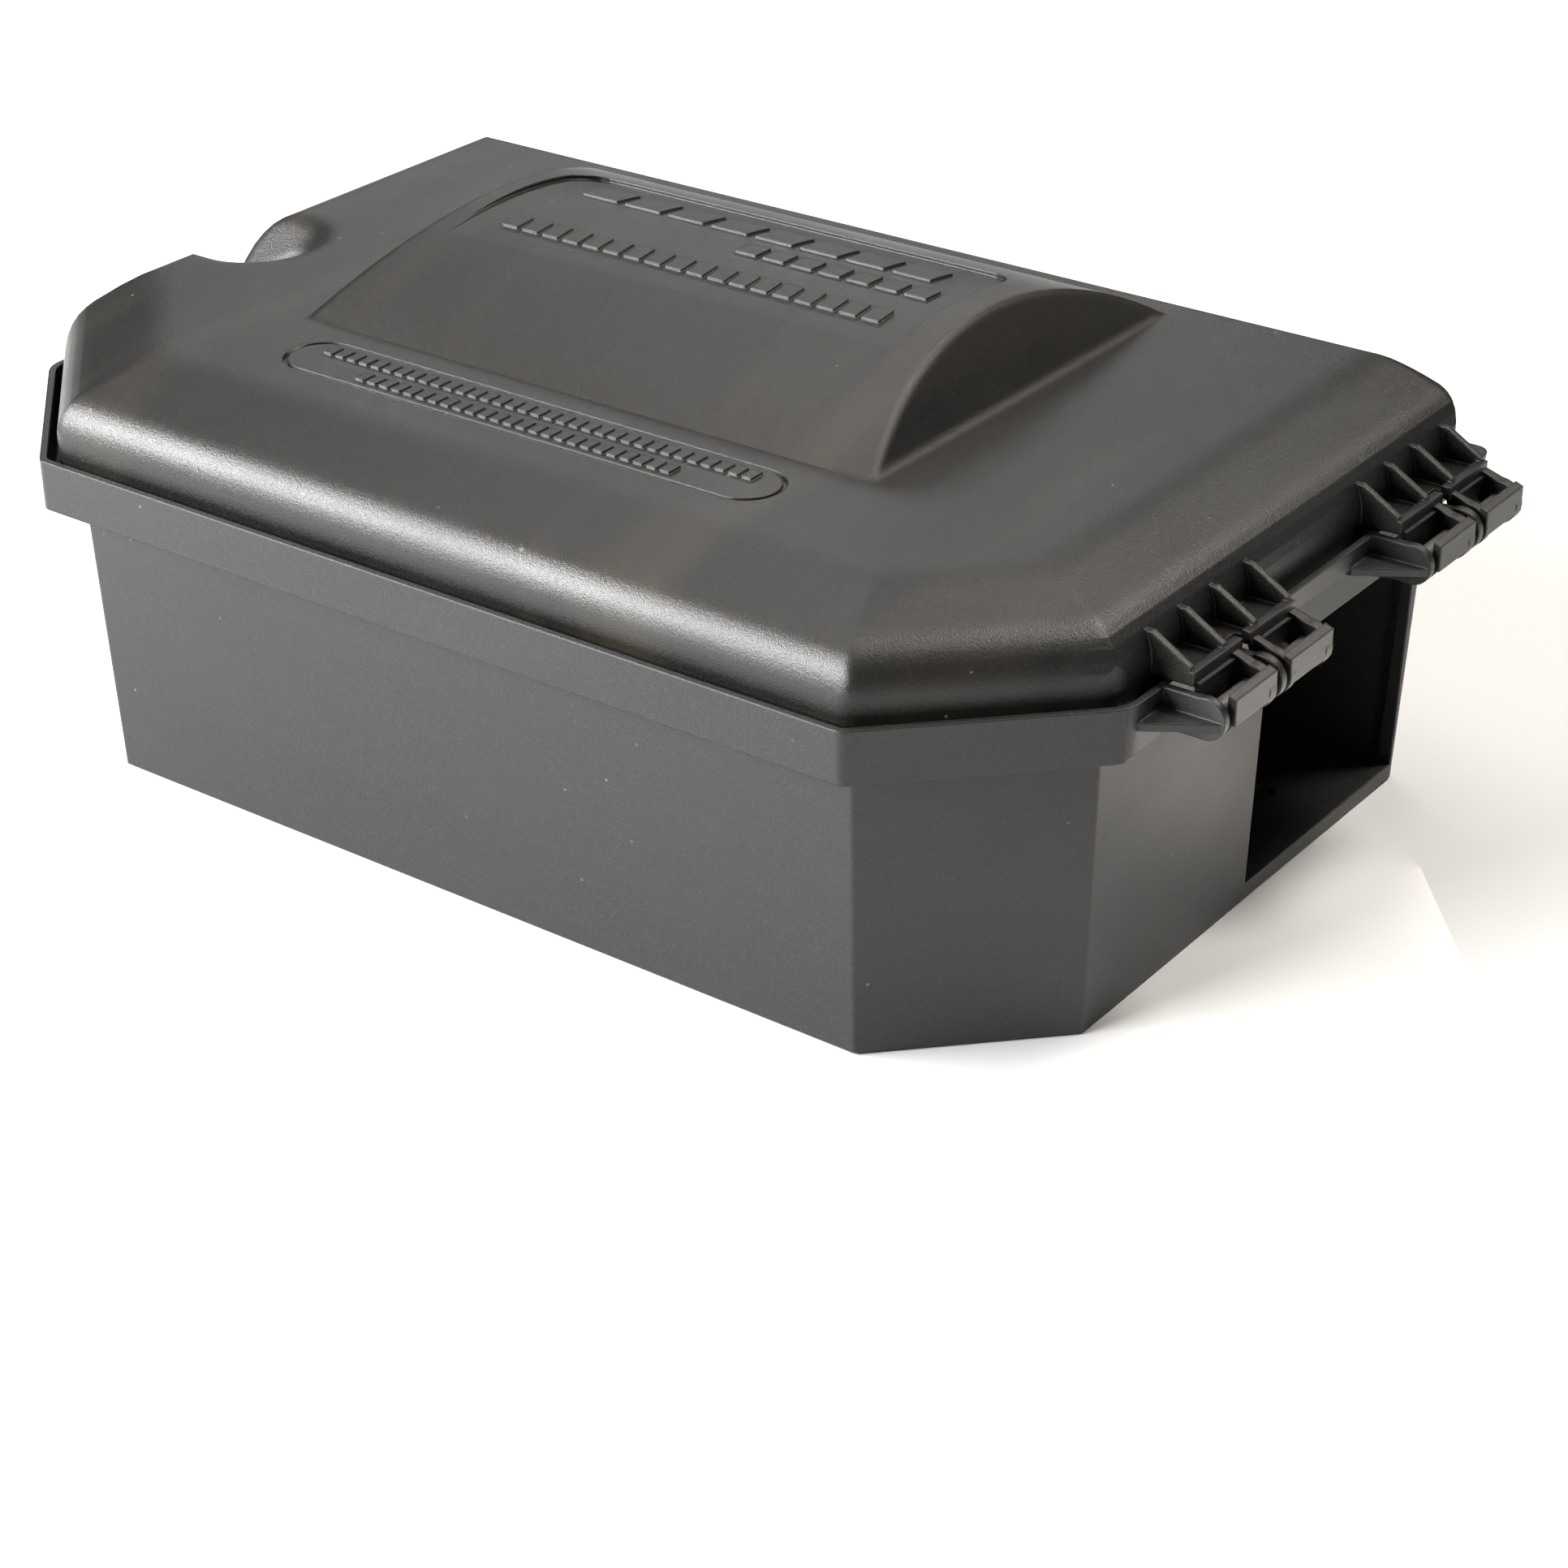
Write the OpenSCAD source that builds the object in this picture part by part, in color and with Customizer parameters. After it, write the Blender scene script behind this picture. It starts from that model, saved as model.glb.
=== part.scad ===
// Tamper resistant bait station: a drafted casing with a rebated rim, a hinged
// domed lid, a quarter turn lock and a removable baffle, tray and bait rods.
// +X points to the hinge end, +Y to the wall side, +Z up; z = 0 is the underside.

/* [Casing] */
// length over the rim
rim_l = 240; // [230:1:260]
// depth over the rim
rim_w = 154; // [150:1:170]
// 45 degree cut across the two front corners
corner_cut = 32; // [28:1:34]
// height of the rim
rim_h = 64.4; // [63:0.1:68]
// wall thickness of the casing
wall = 2; // [1.6:0.1:2.4]
// floor thickness
floor_t = 3; // [2.5:0.1:3.5]
// how far the rim stands out from the walls
rim_out = 6.8; // [6.4:0.1:7.2]
// how far the walls lean in from rim to floor
draft_in = 2.2; // [1:0.1:3]
// depth of the rim band on the three plain sides
skirt_h = 10.5; // [9:0.1:12]
// depth of the rim band on the hinge side
hinge_band_h = 3.9; // [3.5:0.1:4.5]

/* [Entries] */
// front edge of both entry openings
entry_y = 11.5; // [10:0.5:16]
// width of the entry openings
entry_w = 53.5; // [45:0.5:53.5]
// height of the entry openings
entry_h = 44.2; // [40:0.1:46]

/* [Lid] */
// height of the flat top
lid_h = 79.5; // [78:0.1:82]
// height of the shoulder above the side walls
shoulder_z = 73.6; // [72:0.1:75]
// width of the sloped band inside the shoulder
slope_w = 18.5; // [16:0.5:20]
// distance from rim face to lid wall
lid_in = 3.4; // [3.2:0.1:3.8]
// rounding of the shoulder
shoulder_r = 9; // [5:0.5:10]
// shell thickness of the lid
shell = 2.2; // [2:0.1:2.4]

/* [Dome] */
// length of the dome at its foot
dome_l = 127; // [110:1:130]
// width of the dome at its foot
dome_w = 92.4; // [80:0.2:94]
// rise of the dome above the flat top
dome_rise = 13.8; // [10:0.1:15]
// lean of the end faces over the full rise
dome_lean = 8.5; // [4:0.5:10]
// dome middle, along X
dome_x = -5.5; // [-8:0.5:-3]
// dome middle, along Y
dome_y = 19.8; // [16:0.1:22]

/* [Hinge] */
// distance of the pin axis from the middle
pin_x = 127.5; // [127:0.1:128]
// height of the pin axis
pin_z = 61; // [60.8:0.1:61.2]
// radius of the hinge pins
pin_r = 1.5; // [1.2:0.1:1.6]
// outer face of the front ear
hinge_y = -35.7; // [-37:0.1:-34]
// spacing of the two hinges
hinge_pitch = 68; // [66:0.5:70]

/* [Lock] */
// radius of the pit round the lock head
pit_r = 7.5; // [7.3:0.1:8]
// distance of the round end of the thumb scoop from the middle
scoop_x = 107.5; // [106:0.5:108]
// distance of the lock axis from the middle, towards the latch end
lock_x = 104.5; // [104:0.1:105]
// lock axis, along Y
lock_y = 0; // [-2:0.5:3]

/* [Inside] */
// height of the baffle
baffle_h = 48; // [44:1:48]
// doorway width in the baffle
door_w = 62; // [50:1:70]
// tray length
tray_l = 72; // [60:1:74]
// tray depth
tray_w = 56; // [50:1:58]
// tray height
tray_h = 18; // [14:1:22]
// distance of the bait rods from the middle
rod_x = 70; // [66:1:74]
// height of the bait rods
rod_z = 25; // [23:1:28]
// bait rod radius
rod_r = 2; // [1.5:0.1:2.2]
// bait blocks on each rod
blocks_per_rod = 3; // [3:1:3]
// floor fixing holes, spacing along X
fix_l = 194; // [180:1:196]
// floor fixing holes, spacing along Y
fix_w = 84; // [80:1:86]
// radius of the floor fixing holes
fix_r = 2.5; // [2:0.1:3]

/* [Hidden] */
$fn = 64;
eps = 0.01;
arc_steps = 6;
ledge_z = rim_h - skirt_h + 2;      // step the lid skirt stands above
band_z = rim_h - hinge_band_h;      // underside of the hinge side band
hinge_step_z = band_z + 1.5;
brow_r = 24;                        // soft line between flat top and sloped band
latch_edge_r = 8;                    // rounding of the lid along its latch side
back_edge_r = 3;                     // rounding of the lid along its back
// corner radii: at the front, at the two ends, at the back
wall_r = [1.2, 1.2, 3];
rim_r = [2.5, 7, 3];
lid_r = [5, 8, 7];
deep_end = 12;                      // the deep rebate stops this far from the hinge side
rim_t = 1.3;
lid_gap = 0.3;
lip_h = 4;
lip_t = 1.6;
hy = rim_w / 2;
hx = rim_l / 2;
back_y = hy - lid_in;
front_y = -back_y;
dome_r = (pow(dome_w / 2, 2) + pow(dome_rise, 2)) / (2 * dome_rise);
dome_top = lid_h + dome_rise;
dome_axis_z = dome_top - dome_r;
dome_skin = 3.8;                    // thicker, it carries the label recess
panel_x0 = -57;
panel_x1 = 43;
panel_y0 = 0;
panel_y1 = 41;
panel_r = 95;
panel_front_z = dome_axis_z + sqrt(pow(dome_r, 2) - pow(panel_y0 - dome_y, 2));
panel_back_z = dome_axis_z + sqrt(pow(dome_r, 2) - pow(panel_y1 - dome_y, 2)) - 0.9;
pill_l = 109;
pill_w = 14;
pill_y = -38.7;
ear_t = 1.4;
knuckle_r = 4;
knuckle_run = 0.08;
plate_x = pin_x + 2.4;
plate_t = 1.5;
group_l = 33.4;                     // hinge length from ear face to last arm
shelf_z = rim_h + 0.5;
shelf_t = 1.4;
shelf_x = pin_x - 3.2;
lock_floor = lid_h - 11;
scoop_z = lid_h - 9.5;
scoop_w = 4;                        // half width of the scoop floor
scoop_flare = 6;
lock_shaft_r = 3.5;
cam_z = 57.4;
cam_t = 2.4;
cam_reach = 6.4;
baffle_y = 6.5;
baffle_t = 2;
tray_y = -27.5;
tray_t = 1.5;
block_t = 14;
block_l = 30;
block_h = 34;
block_gap = 0.5;
post_t = 3;
stack_l = blocks_per_rod * block_t + (blocks_per_rod - 1) * block_gap;
stack_y = -26;
post_gap = 1;
rod_half = stack_l / 2 + post_gap + post_t + 1;
rest = 0.3;                         // resting gap under loose pieces

// ---------- outlines ----------

function unit(v) = v / norm(v);

// one corner b between a and c, rounded with radius r
function corner(a, b, c, r) =
    r <= 0 ? [b] :
    let (u = unit(a - b), v = unit(c - b), half = acos(u * v) / 2,
         mid = b + unit(u + v) * r / sin(half),
         p = b + u * r / tan(half) - mid,
         a0 = atan2(p.y, p.x),
         turn = sign(cross(b - a, c - b)) * (180 - 2 * half))
    [for (i = [0 : arc_steps]) mid + r * [cos(a0 + turn * i / arc_steps), sin(a0 + turn * i / arc_steps)]];

function rounded(pts, radii) =
    let (n = len(pts))
    [for (i = [0 : n - 1]) each corner(pts[(i + n - 1) % n], pts[i], pts[(i + 1) % n], radii[i])];

// plan outline set in by e from the rim face, two front corners cut
function plan(e) =
    let (x = hx - e, y = hy - e, c = corner_cut - e * (2 - sqrt(2)))
    [[-x + c, -y], [x - c, -y], [x, -y + c], [x, y], [-x, y], [-x, -y + c]];

// r holds the corner radii: at the front, at the two ends, at the back
module plan_shape(e, r) {
    polygon(rounded(plan(e), [r[0], r[0], r[1], r[2], r[2], r[1]]));
}

module slice(e, z, r = wall_r) {
    translate([0, 0, z]) linear_extrude(eps) plan_shape(e, r);
}

module plan_block(e, z0, z1, r = wall_r) {
    translate([0, 0, z0]) linear_extrude(z1 - z0) plan_shape(e, r);
}

// draws a (y, z) outline as a prism along X
module along_x(x0, x1) {
    translate([x0, 0, 0]) rotate([90, 0, 90]) linear_extrude(x1 - x0) children();
}

// draws an (x, z) outline as a prism along Y
module along_y(y0, y1) {
    translate([0, y1, 0]) rotate([90, 0, 0]) linear_extrude(y1 - y0) children();
}

// ---------- casing ----------

module tub(e, z0, z1) {
    hull() {
        slice(rim_out + draft_in + e, z0);
        slice(rim_out + e, z1);
    }
}

module rim_band() {
    difference() {
        hull() {
            slice(1.9, rim_h - skirt_h, rim_r);
            slice(0.9, rim_h - skirt_h + 1, rim_r);
            slice(0, rim_h - eps, rim_r);
        }
        // the band is shallow along the hinge side, from the front ear on
        along_x(hx - deep_end, hx + 1)
            translate([hinge_y + 0.7, 0]) square([rim_w, band_z]);
    }
}

module entry_cut() {
    y1 = entry_y + entry_w;
    z1 = floor_t + entry_h;
    outline = [[entry_y, floor_t], [y1, floor_t], [y1, z1], [entry_y, z1]];
    for (s = [-1, 1])
        along_x(s < 0 ? -hx : hx - 14, s < 0 ? -hx + 14 : hx) polygon(rounded(outline, [0, 0, 3, 1]));
}

// profile of an ear or centre plate round the pin axis
module ear_profile(r) {
    translate([pin_x, pin_z]) circle(r);
    polygon([[hx - 7, pin_z - 5.2], [pin_x - 4, pin_z - 3.6], [pin_x, pin_z - r],
        [pin_x, pin_z + r], [pin_x - 1.5, rim_h], [hx - 1, rim_h], [hx - 1, hinge_step_z - 1],
        [hx - 7, hinge_step_z - 1]]);
}

module base_hinge(y0) {
    along_y(y0, y0 + ear_t) ear_profile(3.6);
    along_y(y0 + 17.2, y0 + 18.7) ear_profile(knuckle_r - 0.1);
    translate([0, 0, pin_z - 1.4]) linear_extrude(1.4)
        polygon([[hx - 7, y0 - 7], [hx, y0 - 7], [pin_x + 3, y0], [pin_x + 3, y0 + 0.5],
            [hx - 7, y0 + 0.5]]);
}

module keeper() {
    x0 = -hx + rim_out + 0.2;
    x1 = -lock_x - lock_shaft_r - 0.4;
    along_y(lock_y - 7, lock_y + 7)
        polygon([[x0, ledge_z - 3], [x0 + lip_t, ledge_z - 3], [x0 + lip_t, cam_z + cam_t + 0.4],
            [x1, cam_z + cam_t + 0.4], [x1, cam_z + cam_t + 2], [x0, cam_z + cam_t + 2]]);
}

module rod_post(x) {
    for (s = [-1, 1]) {
        y = stack_y + s * (stack_l / 2 + post_gap + post_t / 2);
        difference() {
            along_y(y - post_t / 2, y + post_t / 2)
                polygon([[x - 9, floor_t - 1], [x + 9, floor_t - 1],
                    [x + 5.5, rod_z + 5], [x - 5.5, rod_z + 5]]);
            translate([x, y, rod_z]) rotate([90, 0, 0])
                cylinder(r = rod_r + rest, h = post_t + 1, center = true);
            translate([x - rod_r - rest, y - post_t, rod_z]) cube([2 * (rod_r + rest), 2 * post_t, 10]);
        }
    }
}

module baffle_guides() {
    for (s = [-1, 1], y = [baffle_y - rest - 1.5, baffle_y + baffle_t + rest])
        translate([s * (hx - rim_out - wall - 1.5) - 3.5, y, floor_t - 1]) cube([7, 1.5, baffle_h - 14]);
}

module base() {
    color([0.16, 0.16, 0.16])
    difference() {
        union() {
            difference() {
                union() {
                    tub(0, 0, hinge_step_z);
                    rim_band();
                }
                tub(wall, floor_t, rim_h + 1);
                // rebate for the lid skirt: deep on three sides, shallow at the hinges
                translate([-hx, -hy, ledge_z]) cube([rim_l - deep_end, rim_w, rim_h]);
                plan_block(rim_t, hinge_step_z, rim_h + 1, rim_r);
            }
            // rim wall and weather lip around the deep part of the rebate
            difference() {
                plan_block(0.02, ledge_z - 1, rim_h - 0.02, rim_r);
                plan_block(rim_t, ledge_z - 2, rim_h + 1, rim_r);
                translate([hx - deep_end, -hy + corner_cut, 0]) cube([20, rim_w, rim_h + 1]);
            }
            difference() {
                plan_block(rim_out + 0.2, ledge_z - 1, ledge_z + lip_h);
                plan_block(rim_out + 0.2 + lip_t, ledge_z - 2, ledge_z + lip_h + 1);
                translate([hx - deep_end, -hy, 0]) cube([20, rim_w, rim_h + 1]);
            }
            base_hinge(hinge_y);
            base_hinge(hinge_y + hinge_pitch);
            keeper();
            rod_post(-rod_x);
            rod_post(rod_x);
            intersection() {
                baffle_guides();
                tub(0.5, 0.5, hinge_step_z);
            }
        }
        entry_cut();
        for (sx = [-1, 1], sy = [-1, 1])
            translate([sx * fix_l / 2, sy * fix_w / 2, -1]) cylinder(r = fix_r, h = floor_t + 2);
        for (y0 = [hinge_y, hinge_y + hinge_pitch])
            translate([pin_x, y0 + 0.4, pin_z]) rotate([-90, 0, 0]) cylinder(r = pin_r, h = group_l);
    }
}

// ---------- lid ----------

// solid lid form, set in by t on all sides
module lid_form(t, z0) {
    top = lid_h - t;
    drop = t / cos(atan2(lid_h - shoulder_z, slope_w));
    sh = shoulder_z - drop + t * (lid_h - shoulder_z) / slope_w;
    x0 = -hx + lid_in + t;
    y0 = front_y + t;
    w = slope_w;
    far = 200;
    low = z0 - 5;
    cut = plan(lid_in + t);
    // a sloped band: outer face at 0, growing inwards
    function band(back, back_r) =
        rounded([[0, low], [0, sh], [w, top], [back, top], [back, low]],
            [0, shoulder_r - t, brow_r, back_r, 0]);
    intersection() {
        plan_block(lid_in + t, z0, top + 1, [for (r = lid_r) r - t]);
        along_x(-far, far)
            translate([y0, 0])
                polygon(band(2 * back_y - 2 * t, max(back_edge_r - t, 0.5)));
        along_y(-far, far)
            translate([hx - lid_in - t, 0]) mirror([1, 0])
                polygon(band(rim_l - 2 * (lid_in + t), max(latch_edge_r - t, 1)));
        translate([cut[1].x, cut[1].y, 0]) rotate([0, 0, 45])
            along_x(-far, far) polygon(band(2 * far, 0));
        translate([cut[0].x, cut[0].y, 0]) rotate([0, 0, -45])
            along_x(-far, far) polygon(band(2 * far, 0));
    }
}

// dome inset by t: an arch along X with leaning ends
module dome(t) {
    head = dome_l / 2 - dome_lean;
    sunk = 1 + 2 * t;
    foot = dome_l / 2 + dome_lean * sunk / dome_rise;
    intersection() {
        translate([dome_x, dome_y, dome_axis_z]) rotate([0, 90, 0])
            cylinder(r = dome_r - t, h = dome_l + 10, center = true, $fn = 240);
        along_y(dome_y - dome_w / 2 - 2, dome_y + dome_w / 2 + 2)
            polygon([[dome_x - foot + t, lid_h - sunk], [dome_x + foot - t, lid_h - sunk],
                [dome_x + head - t, dome_top], [dome_x - head + t, dome_top]]);
    }
}

module panel_cylinder(r) {
    run = panel_y1 - panel_y0;
    fall = panel_front_z - panel_back_z;
    chord = norm([run, fall]);
    sag = sqrt(panel_r * panel_r - chord * chord / 4);
    mid_y = (panel_y0 + panel_y1) / 2 - sag * fall / chord;
    mid_z = (panel_front_z + panel_back_z) / 2 - sag * run / chord;
    translate([-hx, mid_y, mid_z]) rotate([0, 90, 0]) cylinder(r = r, h = rim_l, $fn = 360);
}

module label_recess() {
    difference() {
        translate([0, 0, lid_h]) linear_extrude(40)
            polygon(rounded([[panel_x0, panel_y0], [panel_x1, panel_y0], [panel_x1, panel_y1],
                [panel_x0, panel_y1]], [1, 1, 7, 7]));
        panel_cylinder(panel_r);
    }
}

// n plain bars of the given size, pitch apart
module bar_row(x, y, n, pitch, size) {
    for (i = [0 : n - 1])
        translate([x + i * pitch, y]) square(size);
}

// plain raised bars that fill the label recess
module label_bars() {
    intersection() {
        translate([0, 0, lid_h + 6]) linear_extrude(20) {
            bar_row(panel_x0 + 10, 27, 8, 10.2, [8.4, 7]);
            bar_row(panel_x1 - 47, 18, 7, 6.2, [4.8, 4.6]);
            bar_row(panel_x0 + 8, 6, 18, 4.8, [3.7, 4.6]);
        }
        panel_cylinder(panel_r + 0.5);
    }
}

module pill(l, w) {
    for (s = [-1, 1])
        translate([s * (l - w) / 2, 0]) circle(w / 2);
    square([l - w, w], center = true);
}

module pill_groove() {
    translate([dome_x - 0.7, pill_y, lid_h - 0.6]) linear_extrude(2)
        difference() {
            pill(pill_l, pill_w);
            pill(pill_l - 1.8, pill_w - 1.8);
        }
}

module pill_dashes() {
    translate([dome_x, pill_y, lid_h - 1]) linear_extrude(1.5) {
        bar_row(-49, 1.2, 34, 2.85, [2, 3.2]);
        bar_row(-36, -4.6, 25, 2.85, [2, 3.2]);
    }
}

// sweeps a half profile (distance, z) round the scoop end and out through the latch end
module scoop_sweep() {
    translate([-scoop_x, lock_y, 0]) rotate([0, 0, -90]) rotate_extrude(angle = 180) children();
    along_x(-hx - 1, -scoop_x)
        translate([lock_y, 0]) {
            children();
            mirror([1, 0]) children();
        }
}

// thumb scoop with 45 degree walls that flare out into the top
module thumb_recess() {
    lip = scoop_w + lid_h - scoop_z + scoop_flare * tan(22.5);
    scoop_sweep()
        polygon([[0, scoop_z], [scoop_w, scoop_z],
            each [for (a = [45 : -15 : 0])
                [lip - scoop_flare * sin(a), lid_h - scoop_flare * (1 - cos(a))]],
            [lip, lid_h + 5], [0, lid_h + 5]]);
    translate([-lock_x, lock_y, lock_floor]) cylinder(r = pit_r, h = lid_h - 2.5 - lock_floor);
}

// the same form one shell thickness larger, under the scoop
module thumb_shell() {
    foot = scoop_w + shell * tan(22.5);
    rise = lid_h - 1 - scoop_z + shell;
    scoop_sweep()
        polygon([[0, scoop_z - shell], [foot, scoop_z - shell], [foot + rise, lid_h - 1], [0, lid_h - 1]]);
    translate([-lock_x, lock_y, lock_floor - shell])
        cylinder(r = pit_r + shell, h = lid_h - 1.5 - lock_floor);
}

module lid_hinge(y0) {
    g = 0.35;
    a0 = y0 + ear_t + g;
    a1 = y0 + 13.4;
    a2 = y0 + 15.4;
    b0 = y0 + 19.9;
    b1 = y0 + 21.5;
    b2 = y0 + group_l - 2;
    b3 = y0 + group_l;
    // shelf with a raised outer bar, notched for the centre plate
    difference() {
        along_y(a0, b3)
            polygon([[hx - 6, shelf_z], [shelf_x, shelf_z], [shelf_x, shelf_z + shelf_t + 1],
                [shelf_x - 1.7, shelf_z + shelf_t + 1], [shelf_x - 1.7, shelf_z + shelf_t],
                [hx - 6, shelf_z + shelf_t]]);
        translate([shelf_x - 3, y0 + 16.6, shelf_z - 1]) cube([10, 2.7, 6]);
    }
    // gusset ribs
    for (y = [a0, y0 + 11.7, y0 + 21.3, b3 - 1.3])
        along_y(y, y + 1.3)
            polygon([[hx - 6, shelf_z], [shelf_x - 0.8, shelf_z + 0.5], [shelf_x - 0.8, shelf_z + 3],
                [hx - 3.6, shelf_z + 7.2], [hx - 6, shelf_z + 7.2]]);
    // arms curling over the pin, joined by an outer plate
    for (span = [[a1, a2], [b0, b1], [b2, b3]])
        along_y(span[0], span[1])
            difference() {
                union() {
                    translate([pin_x, pin_z]) circle(knuckle_r);
                    polygon([[shelf_x - 1, shelf_z], [pin_x - 3, pin_z], [pin_x, pin_z + knuckle_r],
                        [shelf_x - 1, shelf_z + shelf_t]]);
                }
                translate([pin_x, pin_z]) circle(pin_r + knuckle_run);
                translate([pin_x - 9, pin_z - 9]) square([8.6, 8.2]);
            }
    for (span = [[y0 + 2.7, a2], [b0, b3]])
        along_y(span[0], span[1]) {
            polygon([[plate_x, pin_z - 1.6], [plate_x + plate_t, pin_z - 1.3],
                [plate_x + plate_t, pin_z + 3.3], [plate_x, pin_z + 3.9]]);
            // thin trough round the pin, hung from the shelf
            difference() {
                union() {
                    translate([pin_x, pin_z]) circle(knuckle_r - 0.4);
                    translate([shelf_x - 0.4, pin_z]) square([1, shelf_z - pin_z + 0.3]);
                }
                translate([pin_x, pin_z]) circle(knuckle_r - 1.4);
                translate([shelf_x + 0.6, pin_z - 0.6]) square([8, 5]);
            }
        }
}

module lid() {
    skirt_z = ledge_z + lid_gap;
    color([0.17, 0.17, 0.16])
    difference() {
        union() {
            difference() {
                union() {
                    lid_form(0, skirt_z);
                    dome(0);
                }
                lid_form(shell, skirt_z - 1);
                dome(dome_skin);
                // short skirt along the hinge side
                translate([hx - deep_end - 0.5, -hy, skirt_z - 1])
                    cube([20, rim_w, hinge_step_z + lid_gap - skirt_z + 1]);
                label_recess();
                pill_groove();
            }
            // walls and floor of the thumb recess, lock bearing below it
            intersection() {
                thumb_shell();
                lid_form(0, skirt_z);
            }
            translate([-lock_x, lock_y, cam_z + cam_t + 2.8])
                cylinder(r = 7, h = lock_floor - cam_z - cam_t - 3);
            lid_hinge(hinge_y);
            lid_hinge(hinge_y + hinge_pitch);
            label_bars();
            pill_dashes();
        }
        thumb_recess();
        translate([-lock_x, lock_y, 40]) cylinder(r = lock_shaft_r + 0.06, h = 40);
    }
}

// ---------- hinge pins ----------

module hinge_pin(y0) {
    color([0.5, 0.5, 0.5])
    translate([pin_x, y0 + 0.4, pin_z]) rotate([-90, 0, 0]) cylinder(r = pin_r, h = group_l - 0.8);
}

// ---------- lock ----------

module lock_barrel() {
    head_r = 7;
    head_h = 2;
    color([0.3, 0.3, 0.3])
    translate([-lock_x, lock_y, 0])
    difference() {
        union() {
            translate([0, 0, lock_floor + 0.1]) cylinder(r = head_r, h = head_h);
            translate([0, 0, cam_z + cam_t]) cylinder(r = lock_shaft_r, h = lock_floor + 1 - cam_z - cam_t);
        }
        for (s = [-1, 1])
            translate([0, s * 4, lock_floor + 0.8]) cylinder(r = 1.2, h = 5);
        translate([0, 0, cam_z]) cylinder(r = 1.2, h = 8);
    }
}

module lock_cam() {
    color([0.6, 0.6, 0.6])
    translate([-lock_x, lock_y, cam_z])
    difference() {
        union() {
            cylinder(r = lock_shaft_r, h = cam_t);
            intersection() {
                translate([-lock_shaft_r, 0, 0]) cube([2 * lock_shaft_r, cam_reach, cam_t]);
                cylinder(r = cam_reach, h = cam_t);
            }
        }
        translate([0, 0, -1]) cylinder(r = 1.6, h = cam_t + 2);
    }
}

module lock_screw() {
    color([0.7, 0.7, 0.7])
    translate([-lock_x, lock_y, cam_z])
    difference() {
        union() {
            translate([0, 0, -1.6]) cylinder(r = 3, h = 1.6);
            translate([0, 0, -0.5]) cylinder(r = 1.2, h = 9);
        }
        for (a = [0, 90])
            rotate([0, 0, a]) translate([-1.8, -0.35, -2]) cube([3.6, 0.7, 1.2]);
    }
}

// ---------- inside ----------

module baffle() {
    low = hx - rim_out - draft_in - wall - 0.5;
    high = low + draft_in * baffle_h / hinge_step_z - 0.2;
    z0 = floor_t + rest;
    z1 = floor_t + baffle_h;
    end_x = 88;                     // the ends are lower, to clear the lock
    end_cut = 12;
    door = [[-door_w / 2, z0 - 1], [door_w / 2, z0 - 1], [door_w / 2, z1 - 8], [-door_w / 2, z1 - 8]];
    color([0.2, 0.2, 0.2])
    along_y(baffle_y, baffle_y + baffle_t)
        difference() {
            polygon([[-low, z0], [low, z0], [high - 0.5, z1 - end_cut], [end_x, z1 - end_cut], [end_x, z1],
                [-end_x, z1], [-end_x, z1 - end_cut], [-high + 0.5, z1 - end_cut]]);
            polygon(rounded(door, [0, 0, 6, 6]));
        }
}

module tray_box(t, z0, z1) {
    x = tray_l / 2 - t;
    y = tray_w / 2 - t;
    r = 5 - t;
    translate([0, tray_y, z0]) linear_extrude(z1 - z0)
        polygon(rounded([[-x, -y], [x, -y], [x, y], [-x, y]], [r, r, r, r]));
}

module bait_tray() {
    z0 = floor_t + rest;
    color([0.25, 0.25, 0.25])
    difference() {
        union() {
            tray_box(0, z0, z0 + tray_h);
            tray_box(-1.5, z0 + tray_h - 1.5, z0 + tray_h);
        }
        difference() {
            tray_box(tray_t, z0 + tray_t, z0 + tray_h + 1);
            translate([-tray_t / 2, tray_y - tray_w / 2, z0]) cube([tray_t, tray_w, tray_h - 4]);
        }
    }
}

module bait_rod(x) {
    color([0.65, 0.65, 0.65])
    translate([x, stack_y - rod_half, rod_z]) rotate([-90, 0, 0]) {
        cylinder(r = rod_r, h = 2 * rod_half);
        translate([0, 0, -1.5]) cylinder(r = rod_r + 2, h = 1.5);
        translate([0, 0, 2 * rod_half]) cylinder(r = rod_r + 1.2, h = 1.2);
    }
}

// grooved wax block number i on the rod at x
module bait_block(x, i) {
    y = stack_y - stack_l / 2 + i * (block_t + block_gap);
    w = block_l / 2;
    h = block_h / 2;
    notch = 2;
    color([0.15, 0.32, 0.55])
    translate([x, 0, rod_z])
    difference() {
        along_y(y, y + block_t)
            polygon(rounded([[-w, -h], [w, -h], [w, h], [-w, h]], [2, 2, 2, 2]));
        along_y(y - 1, y + block_t + 1) {
            circle(rod_r);
            for (s = [-1, 1], k = [-1, 0, 1]) {
                translate([s * (w + 1), k * 10]) circle(notch, $fn = 24);
                translate([k * 9, s * (h + 1)]) circle(notch, $fn = 24);
            }
        }
    }
}

base();
lid();
hinge_pin(hinge_y);  // hinge_pin_front
hinge_pin(hinge_y + hinge_pitch);  // hinge_pin_rear
lock_barrel();
lock_cam();
lock_screw();
baffle();
bait_tray();
bait_rod(-rod_x);  // bait_rod_left
bait_rod(rod_x);  // bait_rod_right
bait_block(-rod_x, 0);  // bait_block_left_front
bait_block(-rod_x, 1);  // bait_block_left_middle
bait_block(-rod_x, 2);  // bait_block_left_back
bait_block(rod_x, 0);  // bait_block_right_front
bait_block(rod_x, 1);  // bait_block_right_middle
bait_block(rod_x, 2);  // bait_block_right_back
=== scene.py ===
import math

import bpy
from mathutils import Matrix, Vector


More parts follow.
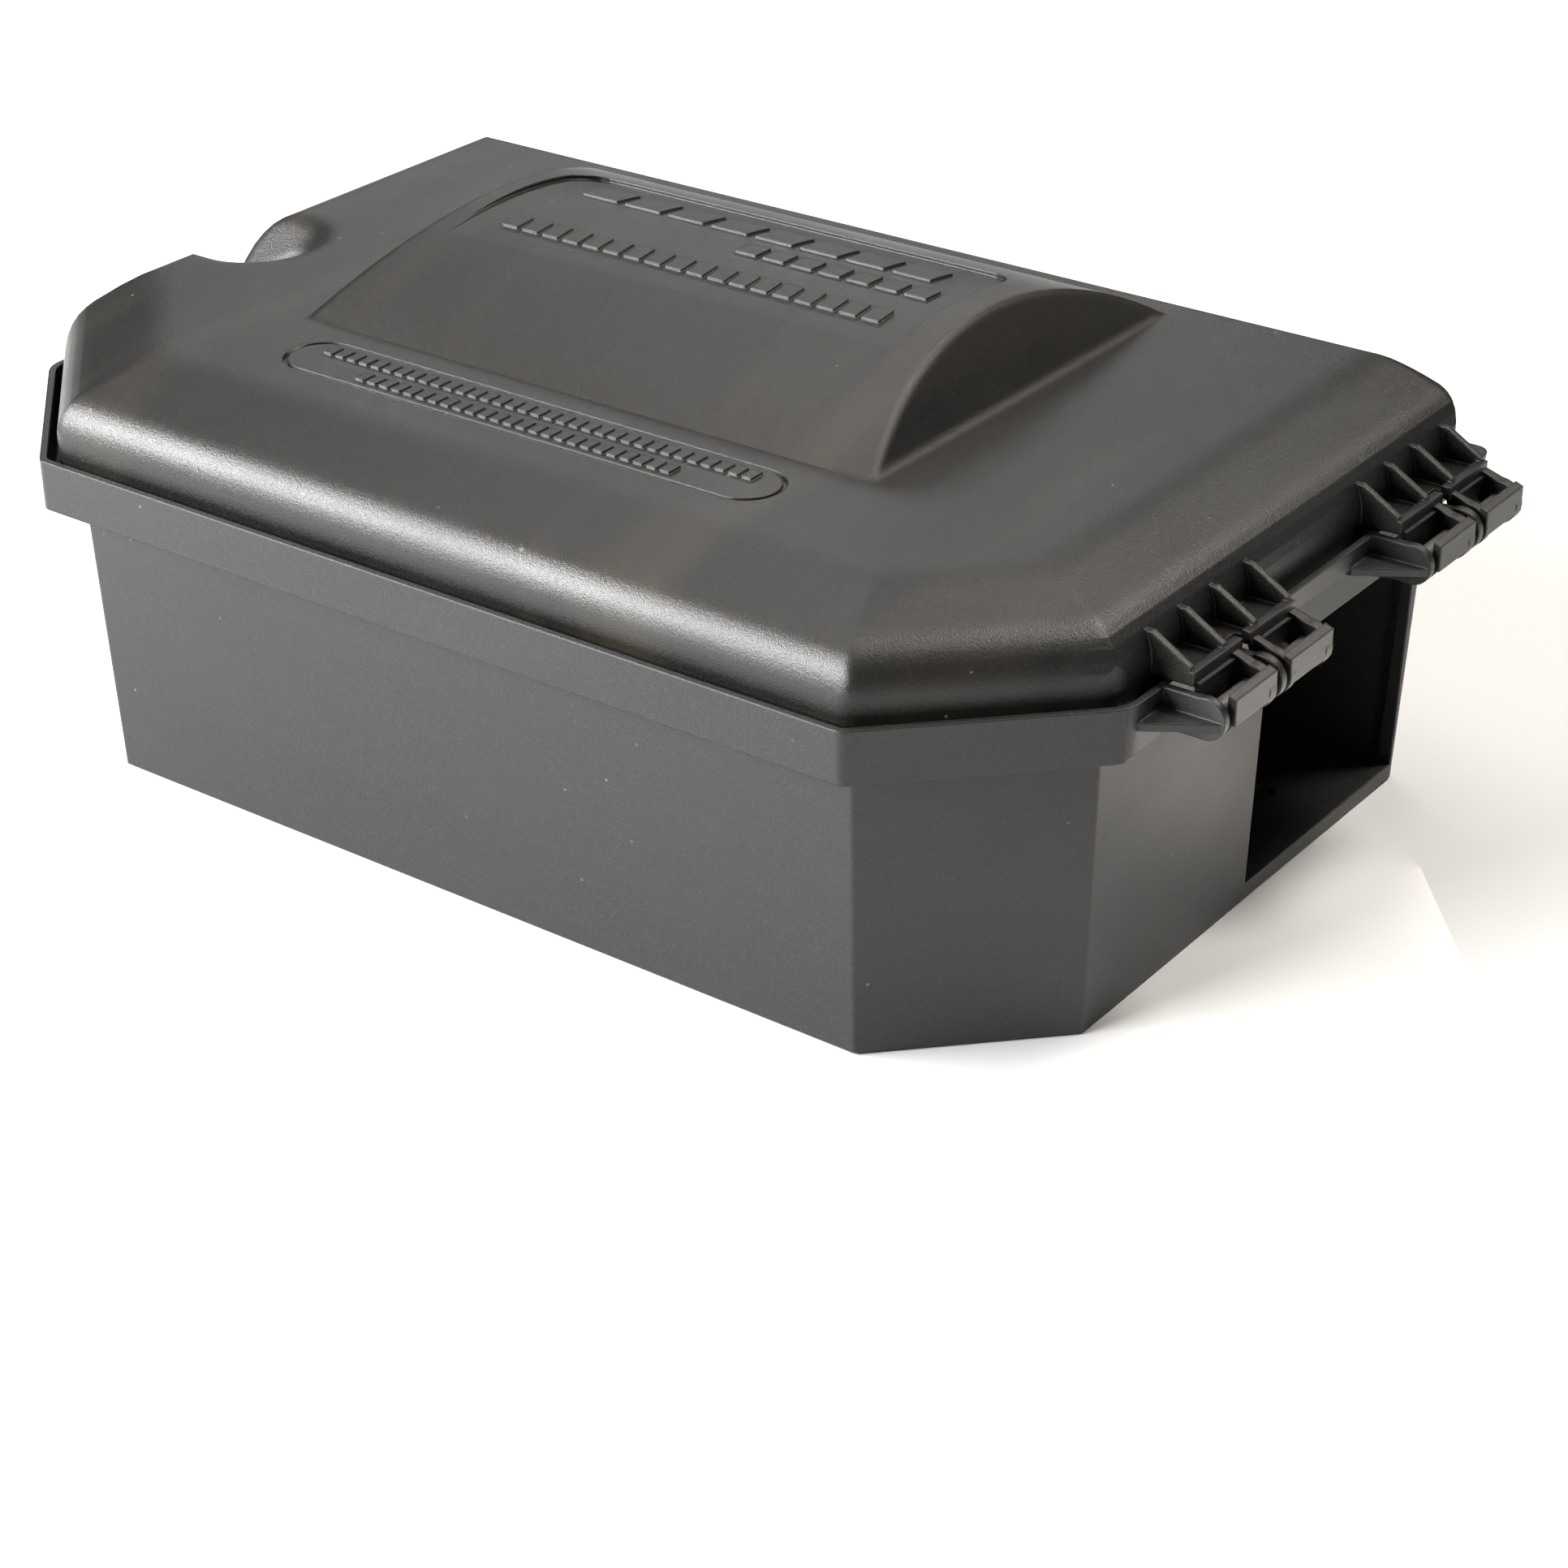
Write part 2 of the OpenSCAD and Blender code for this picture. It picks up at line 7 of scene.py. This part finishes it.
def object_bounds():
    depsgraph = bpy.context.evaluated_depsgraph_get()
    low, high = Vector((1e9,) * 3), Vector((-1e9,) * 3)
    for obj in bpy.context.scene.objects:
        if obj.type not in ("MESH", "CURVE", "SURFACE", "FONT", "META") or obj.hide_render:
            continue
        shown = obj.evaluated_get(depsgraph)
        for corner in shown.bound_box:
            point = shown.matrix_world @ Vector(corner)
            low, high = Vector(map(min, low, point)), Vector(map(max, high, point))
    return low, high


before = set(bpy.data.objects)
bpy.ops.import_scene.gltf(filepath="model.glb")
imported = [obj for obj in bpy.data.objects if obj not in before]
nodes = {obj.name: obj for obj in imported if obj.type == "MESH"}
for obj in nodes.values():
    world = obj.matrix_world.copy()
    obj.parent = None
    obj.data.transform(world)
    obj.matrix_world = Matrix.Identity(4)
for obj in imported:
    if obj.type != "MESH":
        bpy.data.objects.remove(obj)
cad_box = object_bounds()

# roundings, in metres
FINE_EDGE = 0.0005          # label bars, ribs and hinges
BROAD_EDGE = 0.0026         # shoulders, dome and the other large forms of the lid
SMALL_PART_EDGE = 0.0002
EDGE_FADE = 0.002           # width over which one rounding passes into the other
BEVEL_SAMPLES = 6
# part of the lid with lettering sized detail: x from, x to, y from; and x where the hinges start
LABEL_ZONE = (-0.0595, 0.0480, -0.0475)
LID_HINGE_X = 0.1135

# bump distances, in metres
WAVE_DEPTH = 0.0005
GRAIN_DEPTH = 0.0003
BRUSH_DEPTH = 0.00004

# dust specks: cells per metre, size in cells, share of the cells left clean
DUST_SIZES = ((150, 0.11, 0.96), (430, 0.17, 0.972))

FLOOR_HALF = 4
FLOOR_ALBEDO = 0.72
FLOOR_GAP = 0.0004          # keeps floor and underside from sharing one plane
WORLD_STRENGTH = 0.13


# ---------- node helpers ----------

class Nodes:
    """Small wrapper that adds and links shader nodes."""

    def __init__(self, name):
        self.mat = bpy.data.materials.new(name)
        self.mat.use_nodes = True
        self.tree = self.mat.node_tree
        self.bsdf = self.tree.nodes["Principled BSDF"]
        self.place = self.add("ShaderNodeTexCoord").outputs["Object"]

    def add(self, kind, **values):
        node = self.tree.nodes.new(kind)
        for key, value in values.items():
            setattr(node, key, value)
        return node

    def link(self, a, b):
        self.tree.links.new(a, b)

    def stretched(self, scale, turn=(0, 0, 0)):
        node = self.add("ShaderNodeMapping")
        node.inputs["Scale"].default_value = scale
        node.inputs["Rotation"].default_value = turn
        self.link(self.place, node.inputs["Vector"])
        return node.outputs["Vector"]

    def noise(self, scale, detail=2.0, rough=0.5, warp=0.0, at=None):
        node = self.add("ShaderNodeTexNoise")
        node.inputs["Scale"].default_value = scale
        node.inputs["Detail"].default_value = detail
        node.inputs["Roughness"].default_value = rough
        node.inputs["Distortion"].default_value = warp
        self.link(at or self.place, node.inputs["Vector"])
        return node.outputs["Fac"]

    def spots(self, scale, at=None):
        node = self.add("ShaderNodeTexVoronoi")
        node.inputs["Scale"].default_value = scale
        self.link(at or self.place, node.inputs["Vector"])
        return node

    def span(self, value, lo, hi, to_lo=0.0, to_hi=1.0):
        node = self.add("ShaderNodeMapRange", interpolation_type="SMOOTHSTEP")
        ends = (("From Min", lo), ("From Max", hi), ("To Min", to_lo), ("To Max", to_hi))
        for key, number in ends:
            node.inputs[key].default_value = number
        self.link(value, node.inputs["Value"])
        return node.outputs["Result"]

    def feed(self, socket, value):
        """Set a constant on a socket, or link another node's output to it."""
        if isinstance(value, (int, float, tuple)):
            socket.default_value = value
        else:
            self.link(value, socket)

    def maths(self, what, a, b):
        node = self.add("ShaderNodeMath", operation=what)
        self.feed(node.inputs[0], a)
        self.feed(node.inputs[1], b)
        return node.outputs[0]

    def plus(self, a, b):
        return self.maths("ADD", a, b)

    def times(self, a, b):
        return self.maths("MULTIPLY", a, b)

    def most(self, a, b):
        return self.maths("MAXIMUM", a, b)

    def red(self, colour):
        node = self.add("ShaderNodeSeparateColor")
        self.link(colour, node.inputs["Color"])
        return node.outputs["Red"]

    def place_xyz(self):
        node = self.add("ShaderNodeSeparateXYZ")
        self.link(self.place, node.inputs["Vector"])
        return node.outputs

    def mix(self, factor, a, b):
        node = self.add("ShaderNodeMix", data_type="RGBA")
        for key, value in (("Factor", factor), ("A", a), ("B", b)):
            self.feed(node.inputs[key], value)
        return node.outputs["Result"]

    def mix_normals(self, factor, a, b):
        node = self.add("ShaderNodeMix", data_type="VECTOR")
        self.link(factor, node.inputs["Factor"])
        for key, value in (("A", a), ("B", b)):
            socket = next(i for i in node.inputs if i.name == key and i.type == "VECTOR")
            self.link(value, socket)
        return next(o for o in node.outputs if o.type == "VECTOR")

    def bump(self, height, strength, distance, under=None):
        node = self.add("ShaderNodeBump")
        node.inputs["Strength"].default_value = strength
        node.inputs["Distance"].default_value = distance
        self.link(height, node.inputs["Height"])
        if under is not None:
            self.link(under, node.inputs["Normal"])
        return node.outputs["Normal"]

    def bevel(self, radius):
        node = self.add("ShaderNodeBevel", samples=BEVEL_SAMPLES)
        node.inputs["Radius"].default_value = radius
        return node.outputs["Normal"]

    def finish(self, colour=None, rough=None, normal=None, **constants):
        for name, value in (("Base Color", colour), ("Roughness", rough), ("Normal", normal)):
            if value is not None:
                self.link(value, self.bsdf.inputs[name])
        for name, value in constants.items():
            self.bsdf.inputs[name.replace("_", " ")].default_value = value
        return self.mat


def tone(r, g, b):
    return (r, g, b, 1.0)


# ---------- materials ----------

def salted(m, colour, light, fine, sand):
    """Pale salt of grain over a base colour."""
    salt = m.plus(m.times(m.span(fine, 0.50, 0.72), 0.6), m.times(m.span(sand, 0.52, 0.72), 0.4))
    return m.mix(m.times(salt, 0.9), colour, tone(*(c * 3.5 for c in light[:3])))


def dust_specks(m, amount):
    """Sparse pale specks of two sizes."""
    specks = None
    for scale, size, clean in DUST_SIZES:
        cells = m.spots(scale)
        dots = m.span(cells.outputs["Distance"], size * 0.3, size, 1.0, 0.0)
        some = m.times(dots, m.span(m.red(cells.outputs["Color"]), clean, clean + 0.02))
        specks = some if specks is None else m.most(specks, some)
    return m.times(specks, amount)


def edge_normal(m, soft, zone):
    """Rounded edges: fine ones in the label zone and at the hinges, broad ones elsewhere."""
    fine = m.bevel(soft)
    if zone is None:
        return fine
    x0, x1, y0 = zone
    at = m.place_xyz()
    left = m.span(at["X"], x0 - EDGE_FADE, x0, 1.0, 0.0)
    right = m.span(at["X"], x1, x1 + EDGE_FADE)
    front = m.span(at["Y"], y0 - EDGE_FADE, y0, 1.0, 0.0)
    not_hinge = m.span(at["X"], LID_HINGE_X - EDGE_FADE, LID_HINGE_X, 1.0, 0.0)
    broad = m.times(m.most(m.most(left, right), front), not_hinge)
    return m.mix_normals(broad, fine, m.bevel(BROAD_EDGE))


def moulded(name, dark, light, rough, grain, dust, soft=FINE_EDGE, streak=None, zone=None):
    """Satin black injection moulding: spark grain, flow marks, dust and soft moulded edges."""
    m = Nodes(name)
    cloud = m.span(m.noise(11, 4, 0.6, 0.4), 0.3, 0.7)
    drawn = m.stretched((0.35, 1.0, 2.2), (0.1, 0.05, 0.3))
    flow = m.span(m.noise(6, 5, 0.62, 1.2, drawn), 0.35, 0.7)
    fine = m.noise(4200, 2, 0.7)
    sand = m.noise(1900, 3, 0.7)
    coarse = m.noise(420, 2, 0.6)

    colour = m.mix(m.plus(m.times(cloud, 0.5), m.times(flow, 0.5)), dark, light)
    colour = salted(m, colour, light, fine, sand)
    if streak:
        bands = m.noise(34, 4, 0.65, 0.3, m.stretched((1.0, 0.10, 0.10)))
        colour = m.mix(m.times(m.span(bands, 0.48, 0.72), 0.5), colour, streak)
    specks = dust_specks(m, dust)
    colour = m.mix(specks, colour, tone(0.24, 0.235, 0.22))

    # satin, glossier where the melt flowed last
    gloss = m.plus(m.plus(m.times(cloud, 0.08), m.times(flow, -0.10)), rough)
    gloss = m.plus(gloss, m.times(m.span(sand, 0.3, 0.7), 0.06))
    gloss = m.plus(gloss, m.times(specks, 0.3))

    wave = m.bump(m.noise(55, 2, 0.5), 0.08, WAVE_DEPTH, edge_normal(m, soft, zone))
    height = m.plus(m.times(fine, 0.7), m.plus(m.times(sand, 0.6), m.times(coarse, 0.15)))
    normal = m.bump(height, grain, GRAIN_DEPTH, wave)
    return m.finish(colour, gloss, normal, Specular_IOR_Level=0.5)


def steel(name, base, rough, brushed):
    """Zinc plated or drawn steel with fine lines and dull patches."""
    m = Nodes(name)
    lines = m.noise(260, 4, 0.7, 0.0, m.stretched(brushed))
    patch = m.noise(160, 4, 0.6, 0.5)
    colour = m.mix(m.span(patch, 0.35, 0.7), tone(*base), tone(*(c * 0.72 for c in base)))
    gloss = m.plus(m.times(lines, 0.2), rough)
    gloss = m.plus(gloss, m.times(m.span(patch, 0.4, 0.7), 0.12))
    return m.finish(colour, gloss, m.bump(lines, 0.35, BRUSH_DEPTH), Metallic=1.0)


def wax(name):
    """Pressed grain bait bound in dyed wax."""
    m = Nodes(name)
    crumb = m.spots(420)
    cloud = m.noise(90, 5, 0.6)
    colour = m.mix(m.span(cloud, 0.3, 0.7), tone(0.03, 0.12, 0.30), tone(0.05, 0.19, 0.42))
    grain = m.times(m.span(m.red(crumb.outputs["Color"]), 0.72, 0.8),
                    m.span(crumb.outputs["Distance"], 0.2, 0.5, 1.0, 0.0))
    colour = m.mix(m.times(grain, 0.75), colour, tone(0.36, 0.40, 0.34))
    gloss = m.plus(m.times(cloud, 0.25), 0.42)
    normal = m.bump(crumb.outputs["Distance"], 0.5, 0.0005)
    normal = m.bump(m.noise(900, 3, 0.6), 0.35, 0.0002, normal)
    return m.finish(colour, gloss, normal, Subsurface_Weight=0.08, Subsurface_Scale=0.002)


def dress(material, *names):
    for name in names:
        for slot in nodes[name].material_slots:
            slot.material = material


casing = moulded("casing_moulded", tone(0.0065, 0.0067, 0.007), tone(0.0105, 0.0107, 0.011),
                 rough=0.36, grain=0.24, dust=0.5)
lid = moulded("lid_moulded", tone(0.0032, 0.0031, 0.0029), tone(0.0065, 0.0063, 0.0056),
              rough=0.31, grain=0.34, dust=0.5, streak=tone(0.026, 0.0215, 0.015), zone=LABEL_ZONE)
pins = moulded("pin_moulded", tone(0.05, 0.05, 0.048), tone(0.075, 0.074, 0.07),
               rough=0.38, grain=0.12, dust=0.2, soft=SMALL_PART_EDGE)
lock = moulded("lock_moulded", tone(0.028, 0.028, 0.028), tone(0.045, 0.045, 0.045),
               rough=0.36, grain=0.12, dust=0.3, soft=SMALL_PART_EDGE)
insert = moulded("insert_moulded", tone(0.05, 0.05, 0.05), tone(0.075, 0.075, 0.074),
                 rough=0.48, grain=0.25, dust=0.3, soft=0.0004)
zinc = steel("zinc_plate", (0.60, 0.60, 0.57), 0.26, (0.05, 1, 1))
screw = steel("screw_plate", (0.58, 0.58, 0.58), 0.22, (1, 1, 0.05))
rod = steel("rod_drawn", (0.56, 0.55, 0.53), 0.24, (1, 0.03, 1))
bait = wax("bait_wax")

dress(casing, "base")
dress(lid, "lid")
dress(pins, "hinge_pin_front", "hinge_pin_rear")
dress(lock, "lock_barrel")
dress(zinc, "lock_cam")
dress(screw, "lock_screw")
dress(insert, "baffle", "bait_tray")
dress(rod, "bait_rod_left", "bait_rod_right")
dress(bait, *(n for n in nodes if n.startswith("bait_block")))


# ---------- stage ----------

def plain(name, grey, rough):
    m = Nodes(name)
    cloud = m.noise(3, 2, 0.5)
    shade = grey * 0.985
    colour = m.mix(m.span(cloud, 0.3, 0.7), tone(grey, grey, grey), tone(shade, shade, shade))
    return m.finish(colour, m.plus(m.times(cloud, 0.05), rough))


def stage_floor(half):
    mesh = bpy.data.meshes.new("floor")
    corners = [(-half, -half, 0), (half, -half, 0), (half, half, 0), (-half, half, 0)]
    mesh.from_pydata(corners, [], [(0, 1, 2, 3)])
    floor = bpy.data.objects.new("floor", mesh)
    bpy.context.scene.collection.objects.link(floor)
    floor.data.materials.append(plain("floor_pale", FLOOR_ALBEDO, 0.6))
    floor.location.z = cad_box[0][2] - FLOOR_GAP


def panel(name, at, aim, size, power, colour=(1, 1, 1)):
    light = bpy.data.lights.new(name, "AREA")
    light.shape = "RECTANGLE"
    light.size, light.size_y = size
    light.energy = power
    light.color = colour
    ob = bpy.data.objects.new(name, light)
    bpy.context.scene.collection.objects.link(ob)
    ob.location = at
    ob.rotation_euler = (Vector(aim) - Vector(at)).to_track_quat("-Z", "Y").to_euler()


def camera(azimuth, elevation, roll, target, distance, lens):
    az, el, r = (math.radians(v) for v in (azimuth, elevation, roll))
    back = Vector((math.sin(az) * math.cos(el), -math.cos(az) * math.cos(el), math.sin(el)))
    x = Vector((0, 0, 1)).cross(back).normalized()
    y = back.cross(x)
    right = x * math.cos(r) + y * math.sin(r)
    up = y * math.cos(r) - x * math.sin(r)
    data = bpy.data.cameras.new("camera")
    data.sensor_width = 36
    data.lens = lens
    data.clip_start = 0.01
    ob = bpy.data.objects.new("camera", data)
    bpy.context.scene.collection.objects.link(ob)
    at = Vector(target) + back * distance
    ob.matrix_world = Matrix((
        (right.x, up.x, back.x, at.x),
        (right.y, up.y, back.y, at.y),
        (right.z, up.z, back.z, at.z),
        (0, 0, 0, 1)))
    bpy.context.scene.camera = ob


stage_floor(FLOOR_HALF)
# name, place, aim, size, power in watts, tint
panel("strip_left", (-0.75, -0.95, 0.60), (-0.02, -0.05, 0.07), (1.3, 0.25), 66)
panel("back_left", (-1.1, 1.40, 0.80), (0.03, -0.03, 0.08), (1.1, 0.28), 3.5)
panel("upper_left", (-0.62, 0.24, 1.36), (0.0, -0.05, 0.07), (0.9, 0.30), 5.8)
panel("back_warm", (0.44, 0.52, 1.14), (0.04, 0.0, 0.09), (0.26, 0.26), 13.0,
      (1.0, 0.94, 0.86))
panel("back_high", (0.22, 0.92, 1.02), (0.06, 0.0, 0.08), (0.25, 0.16), 2.4,
      (1.0, 0.93, 0.82))
panel("warm_top", (-0.70, -0.28, 1.36), (0.0, 0.0, 0.09), (0.5, 0.4), 2.2, (1.0, 0.80, 0.58))
panel("overhead", (0.35, -0.10, 1.6), (0.10, 0, 0), (0.8, 0.5), 3)
panel("hinge_low", (0.145, 0.030, 0.004), (0.11, 0.0, 0.05), (0.034, 0.09), 0.022,
      (1.0, 0.93, 0.84))

world = bpy.data.worlds.new("studio")
world.use_nodes = True
sky = world.node_tree.nodes["Background"]
sky.inputs["Color"].default_value = (1, 1, 1, 1)
sky.inputs["Strength"].default_value = WORLD_STRENGTH
bpy.context.scene.world = world
bpy.context.scene.view_settings.view_transform = "Standard"

camera(36.938, 29.087, -0.608, (0.06435, -0.05973, 0.040), 0.55408, 78.61)
